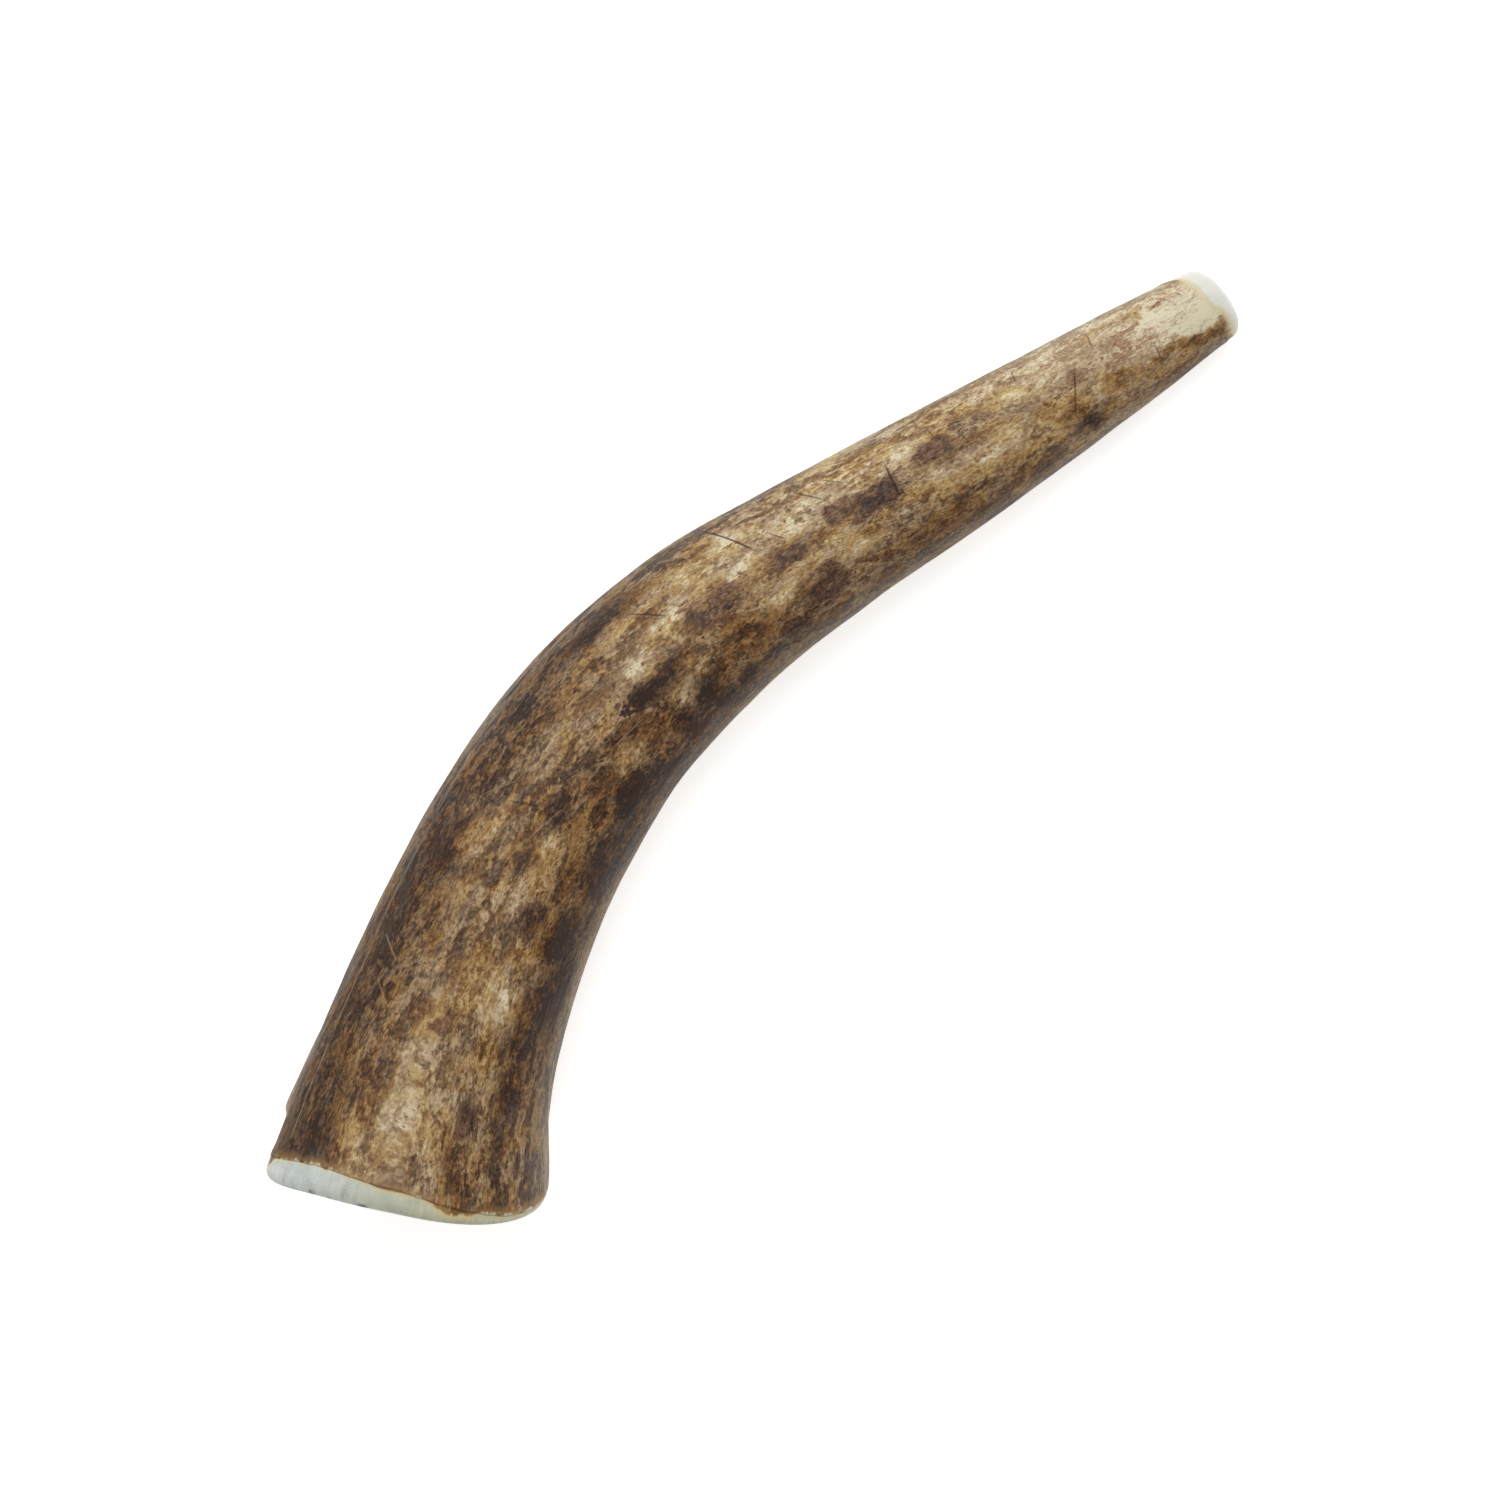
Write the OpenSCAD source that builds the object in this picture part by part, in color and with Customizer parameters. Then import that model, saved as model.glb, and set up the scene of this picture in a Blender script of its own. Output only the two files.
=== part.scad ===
// A sawn length of natural antler: a tapering, bent tine that lies on its side.
// It is one grown piece of bone in three layers, and each layer is a solid of its own:
// the stained bark outside, the dense compact bone under it, and the spongy core.
// X runs along the chord from the sawn base to the tip, +Y is the side that the bend
// bulges to, +Z is up, and the tine rests on z = 0.

/* [Overall size] */
// Straight distance between the centres of the base and the tip
chord = 154; // [130:0.5:180]
// How far the bend stands off that straight line
bend = 21; // [12:0.5:26]
// Width across the sawn base
base_width = 35.8; // [32:0.2:40]
// Width across the tip, before its dome
tip_width = 10.8; // [9:0.2:14]
// Height of a section as a share of its width
flatness = 0.88; // [0.8:0.01:1]
// How far the underside arches off the ground between base, bend and tip
underside_arch = 0.8; // [0:0.1:1.5]

/* [Sawn ends] */
// Slant of the base's saw cut: the upper rim stands further out than the lower one
base_undercut = 16; // [0:1:20]
// Band of bare bone around the base, where it is widest
base_band = 3.6; // [2.5:0.1:5]
// Band of bare bone around the base, where it is narrowest
base_band_narrow = 0.5; // [0.4:0.05:1]
// Band of bare bone around the tip, where it is widest
tip_band = 4.2; // [3:0.1:6]
// Band of bare bone around the tip, where it is narrowest
tip_band_narrow = 0.3; // [0.3:0.05:1]
// Height of the sanded dome that closes the tip
tip_dome = 2.6; // [1.5:0.1:4]
// Slant of the tip towards the bulge side
tip_slant = 4; // [0:1:6]

/* [Layers] */
// Thickness of the bark
bark_depth = 0.6; // [0.4:0.05:1]
// Thickness that the bark is ground down to where it ends
bark_edge = 0.15; // [0.1:0.05:0.3]
// Size of the spongy core at the base, as a share of the section
core_share = 0.62; // [0.4:0.02:0.7]
// How far the core reaches along the tine
core_reach = 0.86; // [0.6:0.02:0.92]

/* [Surface ridges at the base] */
// Height of the upper ridge on the bulge side
upper_ridge = 2.0; // [0:0.1:2.4]
// Depth of the groove between the ridge and the lobe
side_groove = 2.0; // [0:0.1:2.4]
// Height of the lower lobe on the bulge side
lower_lobe = 3.7; // [0:0.1:4]

/* [Smoothness] */
// Facets around a section
facets = 44; // [24:4:48]
// Rings along the bark
rings = 40; // [24:2:44]

/* [Hidden] */

// Stations from base to tip: share of the chord, share of the bend, share of the taper
STATIONS = [
  [0.000, 0.000, 1.000],
  [0.060, 0.270, 0.860],
  [0.140, 0.550, 0.755],
  [0.250, 0.830, 0.665],
  [0.375, 0.995, 0.585],
  [0.500, 0.960, 0.490],
  [0.625, 0.750, 0.365],
  [0.765, 0.460, 0.255],
  [0.915, 0.165, 0.110],
  [1.000, 0.000, 0.000]
];
last = len(STATIONS) - 1;

// Angles around a section start at the bulge side and turn upwards.
// Ridges: angle, spread in degrees, height, share of the length at which it has faded
RIDGES = [
  [38, 18, upper_ridge, 0.25],
  [0, 12, -side_groove, 0.45],
  [-38, 20, lower_lobe, 0.40]
];

bark_colour = "#84633f";
bone_colour = "#e8e4d8";
core_colour = "#b89a72";

base_band_angle = 60;  // where the bare band at the base is widest
tip_band_angle = -10;  // where the bare band at the tip is widest
rim_share = 0.6;       // how much of the bare band at the base is rounded over
rim_rings = 4;
dome_rings = 6;
core_rings = 24;
undercut_fade = 0.3;   // share of the length over which rings turn square again
bend_place = 0.42;     // where the bend touches the ground, as a share of the length
saw_overrun = 2;       // extra length that the saw cut takes off the base
saw_size = 60;

angles = [for (j = [0 : facets - 1]) 360 * j / facets];

// ---- curves ----------------------------------------------------------------

function mix(a, b, k) = a + (b - a) * k;
function ease(k) = let (c = min(max(k, 0), 1)) c * c * (3 - 2 * c);
function bell(angle, centre, spread) =
  let (off = (angle - centre + 540) % 360 - 180) exp(-pow(off / spread, 2));
function around(angle, widest) = 0.5 + 0.5 * cos(angle - widest);

// A station beyond either end is mirrored from the one inside it
function knot(i) =
  i < 0 ? 2 * STATIONS[0] - STATIONS[1] :
  i > last ? 2 * STATIONS[last] - STATIONS[last - 1] :
  STATIONS[i];

// Catmull-Rom curve through the stations, and its slope; u runs from 0 to 1
function station(u) =
  let (i = min(floor(max(u, 0) * last), last - 1), t = u * last - i)
  let (a = knot(i - 1), b = knot(i), c = knot(i + 1), d = knot(i + 2))
  0.5 * (2 * b + (c - a) * t + (2 * a - 5 * b + 4 * c - d) * t * t
    + (3 * b - a - 3 * c + d) * t * t * t);
function station_slope(u) =
  let (i = min(floor(max(u, 0) * last), last - 1), t = u * last - i)
  let (a = knot(i - 1), b = knot(i), c = knot(i + 1), d = knot(i + 2))
  0.5 * ((c - a) + 2 * (2 * a - 5 * b + 4 * c - d) * t
    + 3 * (3 * b - a - 3 * c + d) * t * t);

function width(u) = mix(tip_width, base_width, station(u)[2]);
function centre(u) = let (s = station(u)) [chord * s[0], bend * s[1]];
function forward(u) =
  let (s = station_slope(u), v = [chord * s[0], bend * s[1]]) v / norm(v);

// Millimetres of tine in one unit of u, close to each end
base_pace = norm(centre(1 / last) - centre(0)) * last;
tip_pace = norm(centre(1) - centre(1 - 1 / last)) * last;

// ---- section ---------------------------------------------------------------

// The bulge side is squarer towards the base, the hollow side stays round
function squareness(u, angle) =
  2 + (cos(angle) > 0 ? 1.3 : 0.25) * max(0, 1 - u / 0.35);
function rounded(x, power) = sign(x) * pow(abs(x), 2 / power);
function plain_section(u, angle) =
  let (power = squareness(u, angle))
  width(u) / 2 * [rounded(cos(angle), power), flatness * rounded(sin(angle), power)];
function relief(u, angle) =
  [for (r = RIDGES) r[2] * ease(1 - u / r[3]) * bell(angle, r[0], r[1])] * [for (r = RIDGES) 1];

// Side and height of a surface point from the centreline, sunk below the outer surface
function section(u, angle, sunk) =
  let (p = plain_section(u, angle), r = norm(p)) p * (r + relief(u, angle) - sunk) / r;

// The lowest point of each ring stands on the ground, apart from the slight arch
function arch(u) =
  let (k = u < bend_place ? u / bend_place : (u - bend_place) / (1 - bend_place))
  underside_arch * pow(sin(180 * min(max(k, 0), 1)), 2);
HEIGHTS = [for (i = [0 : 60])
  let (u = i / 60)
  [u, arch(u) - min([for (a = angles) section(u, a, 0)[1]])]];
function centre_height(u) = lookup(u, HEIGHTS);

// Rings lean with the slanted saw cut at the base and stand square further along
function lean(u) = tan(base_undercut) * pow(max(0, 1 - max(u, 0) / undercut_fade), 1.5);

function place(u, offset) =
  let (f = forward(u), c = centre(u), ahead = -offset[1] * lean(u))
  [
    c[0] - offset[0] * f[1] + ahead * f[0],
    c[1] + offset[0] * f[0] + ahead * f[1],
    centre_height(u) + offset[1]
  ];

// ---- rings of points -------------------------------------------------------

function base_bare(angle) =
  mix(base_band_narrow, base_band, pow(around(angle, base_band_angle), 4.5));
function tip_bare(angle) =
  mix(tip_band_narrow, tip_band, pow(around(angle, tip_band_angle), 8));

// Bark rows: k runs from the bark's edge at the base to its edge at the tip
function bark_u(k, angle) =
  mix(base_bare(angle) / base_pace, 1 - tip_bare(angle) / tip_pace, k);
function bark_thickness(k) = mix(bark_edge, bark_depth, ease(k / 0.05) * ease((1 - k) / 0.05));
function bark_ring(k, sunk) =
  [for (a = angles) let (u = bark_u(k, a)) place(u, section(u, a, sunk))];

bark_rows = [for (i = [0 : rings]) i / rings];
bark_outside = [for (k = bark_rows) bark_ring(k, 0)];
bark_inside = [for (k = bark_rows) bark_ring(k, bark_thickness(k))];

// Rounded rim between the sawn base face and the bark; turn is 0 on the face.
// The blanks run on past the face in a straight line, and the saw cut trims them.
function rim_ring(turn) =
  [for (a = angles)
    let (radius = rim_share * base_bare(a), u = radius * (1 - cos(turn)) / base_pace)
    place(u, section(u, a, bark_edge + radius * (1 - sin(turn))))];
base_rim = [for (i = [1 : rim_rings]) rim_ring(90 * i / rim_rings)];
base_heading = atan2(forward(0)[1], forward(0)[0]);
base_out = -[forward(0)[0], forward(0)[1], 0];
base_overrun = [for (p = rim_ring(0)) p + saw_overrun * base_out];
base_middle = place(0, [0, 0]) + saw_overrun * base_out;

// Dome over the tip; turn is 90 at its top
function dome_ring(turn) =
  [for (a = angles)
    let (flank = section(1, a, bark_edge) * pow(cos(turn), 0.75))
    let (rise = tip_dome * pow(sin(turn), 0.9) - tan(tip_slant) * flank[0])
    place(1, flank) + rise * [forward(1)[0], forward(1)[1], 0]];
tip_rings = [for (i = [0 : dome_rings - 1]) dome_ring(90 * i / dome_rings)];
tip_top = place(1, [0, 0]) + tip_dome * [forward(1)[0], forward(1)[1], 0];

// Spongy core: it keeps the section's outline, shrinks along the tine and closes
function core_size(k) = core_share * sqrt(1 - pow(k, 4));
function core_ring(k) =
  let (u = core_reach * k)
  [for (a = angles) place(u, core_size(k) * section(u, a, 0))];
core_body = [for (i = [1 : core_rings - 1]) core_ring(i / core_rings)];
core_overrun = [for (p = core_ring(0)) p + saw_overrun * base_out];
core_end = place(core_reach, [0, 0]);

// ---- frame -----------------------------------------------------------------

// The origin is under the middle of the tine's box
outer_points = [
  for (ring = concat(bark_outside, base_rim, tip_rings)) each ring,
  tip_top
];
box_low = [for (axis = [0 : 2]) min([for (p = outer_points) p[axis]])];
box_high = [for (axis = [0 : 2]) max([for (p = outer_points) p[axis]])];
to_origin = [-(box_low[0] + box_high[0]) / 2, -(box_low[1] + box_high[1]) / 2, -box_low[2]];

// ---- solids from rings -----------------------------------------------------

// Triangles between ring i and ring i + 1 of a list of rings; wrap closes the list
function band(i, next) =
  [for (j = [0 : facets - 1])
    let (k = (j + 1) % facets)
    each [
      [i * facets + j, next * facets + j, i * facets + k],
      [i * facets + k, next * facets + j, next * facets + k]
    ]];

// A closed body: a point, a list of rings and a point at the far end
module closed_loft(near_point, ring_list, far_point) {
  count = len(ring_list);
  far_ring = (count - 1) * facets;
  near = count * facets;
  far = near + 1;
  polyhedron(
    points = concat([for (ring = ring_list) each ring], [near_point, far_point]),
    faces = concat(
      [for (j = [0 : facets - 1]) [near, j, (j + 1) % facets]],
      [for (i = [0 : count - 2]) each band(i, i + 1)],
      [for (j = [0 : facets - 1]) [far_ring + j, far, far_ring + (j + 1) % facets]]
    )
  );
}

// An open tube with a wall: out along one list of rings and back along the other
module sleeve(outside, inside) {
  back = [for (i = [len(inside) - 1 : -1 : 0]) inside[i]];
  loop = concat(outside, back);
  count = len(loop);
  polyhedron(
    points = [for (ring = loop) each ring],
    faces = [for (i = [0 : count - 1]) each band(i, (i + 1) % count)]
  );
}

// Everything that the saw takes off beyond the base face
module saw_cut() {
  translate(place(0, [0, 0]))
    rotate([0, -base_undercut, base_heading])
      translate([-saw_size, -saw_size / 2, -saw_size / 2])
        cube([saw_size, saw_size, saw_size]);
}

module core_blank() {
  closed_loft(base_middle, concat([core_overrun], core_body), core_end);
}

// ---- sub-parts -------------------------------------------------------------

// Stained outer layer, ground back from both ends
module bark() {
  color(bark_colour)
    translate(to_origin)
      sleeve(bark_outside, bark_inside);
}

// Dense wall: bare on the rounded base rim and on the domed tip
module compact_bone() {
  color(bone_colour)
    translate(to_origin)
      difference() {
        closed_loft(base_middle, concat([base_overrun], base_rim, bark_inside, tip_rings), tip_top);
        core_blank();
        saw_cut();
      }
}

// Porous middle, seen only on the sawn base face
module spongy_core() {
  color(core_colour)
    translate(to_origin)
      difference() {
        core_blank();
        saw_cut();
      }
}

bark();
compact_bone();
spongy_core();
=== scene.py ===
import math
import bpy
import numpy as np
from mathutils import Matrix, Vector, noise


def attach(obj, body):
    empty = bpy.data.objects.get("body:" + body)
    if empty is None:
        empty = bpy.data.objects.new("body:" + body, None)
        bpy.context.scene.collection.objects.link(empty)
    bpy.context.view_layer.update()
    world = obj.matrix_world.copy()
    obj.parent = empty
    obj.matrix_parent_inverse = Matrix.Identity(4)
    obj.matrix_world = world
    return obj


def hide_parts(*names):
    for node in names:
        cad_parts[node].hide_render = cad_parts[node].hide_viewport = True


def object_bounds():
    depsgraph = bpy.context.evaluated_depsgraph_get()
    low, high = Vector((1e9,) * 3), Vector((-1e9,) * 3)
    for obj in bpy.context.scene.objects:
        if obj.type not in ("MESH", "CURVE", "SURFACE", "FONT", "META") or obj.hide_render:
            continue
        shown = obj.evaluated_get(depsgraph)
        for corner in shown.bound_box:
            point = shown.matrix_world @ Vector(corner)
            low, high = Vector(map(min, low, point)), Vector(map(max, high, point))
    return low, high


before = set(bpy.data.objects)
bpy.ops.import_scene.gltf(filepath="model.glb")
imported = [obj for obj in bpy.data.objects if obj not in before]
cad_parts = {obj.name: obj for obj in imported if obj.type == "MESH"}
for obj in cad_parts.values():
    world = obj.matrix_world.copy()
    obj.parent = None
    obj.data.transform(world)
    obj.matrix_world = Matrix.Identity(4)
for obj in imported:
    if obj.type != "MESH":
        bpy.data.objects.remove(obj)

CAD_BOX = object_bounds()

# A sawn length of antler, bent and tapering: stained bark, compact bone and spongy core.

# ---- the tine's shape, in millimetres and degrees, as in the CAD ----------------------------

CHORD = 154.0            # straight distance between the centres of the base and the tip
BEND = 21.0              # how far the bend stands off that line
BASE_WIDTH = 35.8
TIP_WIDTH = 10.8
FLATNESS = 0.88          # height of a section as a share of its width
UNDERSIDE_ARCH = 0.8     # gap under the tine between the places where it touches the ground
BEND_PLACE = 0.42        # where the bend touches the ground, as a share of the length
BASE_UNDERCUT = 16.0     # slant of the base's saw cut
UNDERCUT_FADE = 0.3      # share of the length over which sections stand less and less aslant
BARK_DEPTH = 0.6
BARK_EDGE = 0.15         # bark thickness where it ends
CORE_SHARE = 0.62        # width of the core as a share of the tine's
CORE_REACH = 0.86        # share of the length that the core runs through
RIM_SHARE = 0.6          # how much of the bare band at the base is rounded over
TIP_DOME = 2.6           # height of the rounded end
TIP_SLANT = 4.0          # slant of the rounded end

# Stations from base to tip: share of the chord, share of the bend, share of the taper
STATIONS = np.array([
    [0.000, 0.000, 1.000],
    [0.060, 0.270, 0.860],
    [0.140, 0.550, 0.755],
    [0.250, 0.830, 0.665],
    [0.375, 0.995, 0.585],
    [0.500, 0.960, 0.490],
    [0.625, 0.750, 0.365],
    [0.765, 0.460, 0.255],
    [0.915, 0.165, 0.110],
    [1.000, 0.000, 0.000],
])
LAST = len(STATIONS) - 1
KNOTS = np.vstack([2 * STATIONS[0] - STATIONS[1], STATIONS, 2 * STATIONS[-1] - STATIONS[-2]])

# Angles around a section start at the bulge side (+Y) and turn upwards: 90 is the top
# Ridges near the base: angle, spread, height, share of the length at which it has faded
RIDGES = [(38, 18, 2.0, 0.25), (0, 12, -2.0, 0.45), (-38, 20, 3.7, 0.40)]

COLUMNS = 256            # points around a section
TURN = 360.0 * np.arange(COLUMNS) / COLUMNS        # their angles


def mix(a, b, k):
    return a + (b - a) * k


def ease(k):
    k = np.clip(k, 0, 1)
    return k * k * (3 - 2 * k)


def turned(angle, centre):
    """Signed angle from centre to angle, between -180 and 180."""
    return (angle - centre + 540) % 360 - 180


def station(u):
    """Catmull-Rom curve through the stations at u (0 base, 1 tip), and its slope."""
    station_place = np.asarray(u, float) * LAST
    i = np.clip(np.floor(station_place).astype(int), 0, LAST - 1)
    t = (station_place - i)[..., None]
    a, b, c, d = KNOTS[i], KNOTS[i + 1], KNOTS[i + 2], KNOTS[i + 3]
    value = 0.5 * (2 * b + (c - a) * t + (2 * a - 5 * b + 4 * c - d) * t**2
                   + (3 * b - a - 3 * c + d) * t**3)
    slope = 0.5 * ((c - a) + 2 * (2 * a - 5 * b + 4 * c - d) * t
                   + 3 * (3 * b - a - 3 * c + d) * t**2)
    return value, slope


def half_width(u):
    """Half the width of the plain section, without ridges."""
    return mix(TIP_WIDTH, BASE_WIDTH, station(u)[0][..., 2]) / 2


def centre_and_heading(u):
    """Point of the centreline, seen from above, and the unit vector that it runs along."""
    value, slope = station(u)
    heading = slope[..., :2] * (CHORD, BEND)
    heading = heading / np.linalg.norm(heading, axis=-1)[..., None]
    return value[..., :2] * (CHORD, BEND), heading


def section(u, angle, sunk=0.0):
    """Side and height of a surface point from the centreline, sunk below the outer surface."""
    u, angle = np.broadcast_arrays(np.asarray(u, float), np.asarray(angle, float))
    side, up = np.cos(np.radians(angle)), np.sin(np.radians(angle))
    squareness = 2 + np.where(side > 1e-9, 1.3, 0.25) * np.maximum(0, 1 - u / 0.35)
    half = half_width(u)
    y = half * np.sign(side) * np.abs(side) ** (2 / squareness)
    z = FLATNESS * half * np.sign(up) * np.abs(up) ** (2 / squareness)
    radius = np.hypot(y, z)
    relief = sum(
        height * ease(1 - u / faded) * np.exp(-(turned(angle, centre) / spread) ** 2)
        for centre, spread, height, faded in RIDGES
    )
    scale = (radius + relief - sunk) / radius
    return y * scale, z * scale


def arch(u):
    """How far the underside stands off the ground between its three contact places."""
    k = np.where(u < BEND_PLACE, u / BEND_PLACE, (u - BEND_PLACE) / (1 - BEND_PLACE))
    return UNDERSIDE_ARCH * np.sin(np.pi * np.clip(k, 0, 1)) ** 2


# The lowest point of each ring stands on the ground, apart from the slight arch
HEIGHT_AT = np.linspace(0, 1, 61)
HEIGHTS = arch(HEIGHT_AT) - section(HEIGHT_AT[:, None], TURN[None, :])[1].min(axis=1)

# Millimetres along the centreline for each u
ALONG_U = np.linspace(0, 1, 801)
ALONG = np.concatenate([[0], np.cumsum(np.linalg.norm(
    np.diff(centre_and_heading(ALONG_U)[0], axis=0), axis=-1))])
LENGTH = ALONG[-1]


def pace(low, high):
    """Millimetres of tine in one unit of u between two stations."""
    ends = centre_and_heading(np.array([low, high]) / LAST)[0]
    return np.linalg.norm(ends[1] - ends[0]) * LAST


BASE_PACE, TIP_PACE = pace(0, 1), pace(LAST - 1, LAST)


def place(u, offset):
    """Point in the CAD's own coordinates for an offset (side, height) from the centreline."""
    side, height = offset
    u = np.broadcast_to(u, np.shape(side))
    centre, heading = centre_and_heading(u)
    lean = math.tan(math.radians(BASE_UNDERCUT)) * np.maximum(
        0, 1 - np.maximum(u, 0) / UNDERCUT_FADE) ** 1.5
    ahead = -height * lean
    return np.stack([
        centre[..., 0] - side * heading[..., 1] + ahead * heading[..., 0],
        centre[..., 1] + side * heading[..., 0] + ahead * heading[..., 1],
        np.interp(u, HEIGHT_AT, HEIGHTS) + height,
    ], axis=-1)


# ---- random fields --------------------------------------------------------------------------

def wander(points, size, octaves=3, seed=0.0):
    """Smooth noise, about -1 to 1, at each point of an array of positions in millimetres."""
    flat = points.reshape(-1, 3) / size + seed
    values = [noise.fractal(Vector(p), 1.0, 2.0, octaves) for p in flat]
    return np.array(values).reshape(points.shape[:-1])


def grain_point(along, angle, radius):
    """The tine straightened out: along it, then across a round section, in millimetres."""
    turn = np.radians(angle)
    along, angle, radius = np.broadcast_arrays(along, angle, radius)
    return np.stack([along, radius * np.cos(turn), radius * np.sin(turn)], axis=-1)


# ---- bare bands at both ends ----------------------------------------------------------------

def around(angle, widest):
    """1 on the side where a bare band is widest, falling to 0 on the opposite side."""
    return 0.5 + 0.5 * np.cos(np.radians(angle - widest))


def base_bare(angle):
    """Millimetres of bone that the bark leaves bare at the base."""
    return mix(0.5, 3.6, around(angle, 60) ** 4.5)


def tip_bare(angle):
    """Millimetres of bone that the bark leaves bare before the dome of the tip."""
    return mix(0.3, 4.2, around(angle, -10) ** 8)


def ragged(angle, size, depth, seed):
    """Unevenness of the bark's edge around the section."""
    ring = grain_point(0.0, angle, 15.0)
    return depth * wander(ring, size, 4, seed)


# Tongues of stain that reach into the bare band at the base: angle, spread, reach in millimetres
TONGUES = [(34, 2.5, 1.3), (56, 3, 0.3), (66, 2, 0.3), (88, 5, 0.4), (111, 9, 0.9), (134, 3, 0.2)]


def stain_end_at_base(angle):
    """How far from the saw cut the stain ends, in millimetres."""
    tongues = sum(reach * np.exp(-(turned(angle, at) / spread) ** 2) for at, spread, reach in TONGUES)
    return base_bare(angle) + 0.15 - tongues


def stain_end_at_tip(angle):
    """How far before the dome the stain ends; below 0 it runs on over the dome."""
    above = ease((angle - 20) / 30) * ease((115 - angle) / 30)
    behind = ease((angle - 165) / 30) * ease((260 - angle) / 40)
    return tip_bare(angle) - 0.25 + 1.0 * above - 0.5 * behind


# ---- marks on the bark ----------------------------------------------------------------------
# Places are millimetres along the tine from the base, and degrees around it.
# Each mark: along, angle, half length, half width (millimetres), strength

# Broad soft lighter and darker areas
WASHES = [
    (5, 40, 5, 6, -0.10),
    (5, 82, 6, 6, 0.12),
    (5, 110, 5, 9, -0.08),
    (8, 135, 8, 5, 0.10),
    (10, 92, 14, 6, 0.08),
    (18, 87, 15, 1.2, 0.06),
    (20, 40, 42, 8, -0.20),
    (26, 114, 6, 4, 0.08),
    (30, 55, 24, 5, -0.06),
    (32, 104, 18, 5, 0.07),
    (42, 112, 10, 6, 0.07),
    (45, 134, 55, 6, -0.14),
    (50, 110, 9, 6, -0.03),
    (60, 152, 50, 4, -0.16),
    (65, 60, 8, 5, -0.09),
    (66, 80, 9, 4, 0.08),
    (70, 30, 30, 6, -0.16),
    (70, 98, 9, 5, -0.06),
    (70, 145, 16, 3, -0.07),
    (75, 80, 12, 4, 0.11),
    (88, 60, 20, 7, 0.20),
    (90, 122, 8, 4, -0.07),
    (95, 32, 8, 5, -0.05),
    (95, 80, 9, 4, -0.08),
    (95, 140, 9, 4, 0.07),
    (98, 60, 12, 5, 0.06),
    (98, 105, 14, 4, 0.10),
    (102, 58, 12, 5, 0.08),
    (107, 81, 7, 3.5, -0.14),
    (110, 60, 8, 5, 0.04),
    (116, 156, 14, 3, 0.06),
    (120, 38, 8, 4, -0.07),
    (122, 80, 9, 4, -0.04),
    (126, 80, 12, 4, -0.08),
    (127, 102, 12, 3, 0.16),
    (130, 42, 24, 7, 0.24),
    (130, 120, 14, 3, 0.04),
    (132, 100, 12, 4, 0.07),
    (135, 138, 26, 4, -0.14),
    (140, 36, 12, 4, 0.10),
    (140, 55, 8, 5, -0.02),
    (140, 82, 10, 5, -0.06),
    (140, 152, 14, 3, 0.16),
    (140, 155, 10, 3, 0.12),
    (145, 122, 12, 3, 0.02),
    (148, 144, 13, 4, -0.24),
    (150, 62, 5, 3, -0.04),
    (150, 140, 6, 3, -0.05),
    (152, 105, 12, 5, 0.10),
    (155, 45, 10, 5, -0.02),
    (156, 80, 6, 4, 0.06),
    (158, 84, 6, 4, 0.08),
    (158, 92, 8, 4, 0.10),
    (160, 78, 20, 8.5, 0.39),
]

# How lively the marbling is, less than 1 where the bark is plainer
PLAIN_PLACES = [
    (15, 35, 40, 8, -0.45),
    (80, 160, 80, 5, -0.40),
    (150, 70, 24, 9, -0.36),
]

# Stains of three colours
BLACK_MARKS = [
    (5, 56, 4, 2.2, 0.6),
    (9, 130, 3, 1.2, 0.6),
    (15, 134, 4, 1.8, 0.8),
    (21.5, 133, 3, 2.2, 0.8),
    (27, 138, 4, 2.0, 0.7),
    (29, 152, 6, 1.8, 0.6),
    (30, 145, 5, 1.4, 0.8),
    (36, 135, 3.6, 2.6, 1.0),
    (40, 57, 4, 3.0, 0.5),
    (46, 140, 3, 2.2, 0.7),
    (58.5, 132, 3.8, 2.4, 1.1),
    (64, 103, 3.2, 1.1, 0.7),
    (70, 101, 3.6, 1.5, 0.8),
    (71, 130, 1.6, 2.8, 0.9),
    (73, 41, 7, 1.5, 0.6),
    (77, 132, 1.8, 2.4, 0.9),
    (82.5, 142, 1.6, 1.4, 0.8),
    (92.5, 132, 3.0, 1.4, 1.0),
    (121, 147, 3, 1.2, 0.6),
    (131, 146, 3, 1.4, 0.6),
    (138.5, 134, 1.9, 1.6, 0.9),
    (152, 118, 3, 0.8, 0.7),
    (157.5, 124, 3, 1.1, 1.0),
    (160, 118, 1.6, 0.7, 0.9),
    (160.4, 133, 1.4, 1.6, 0.7),
]
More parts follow.
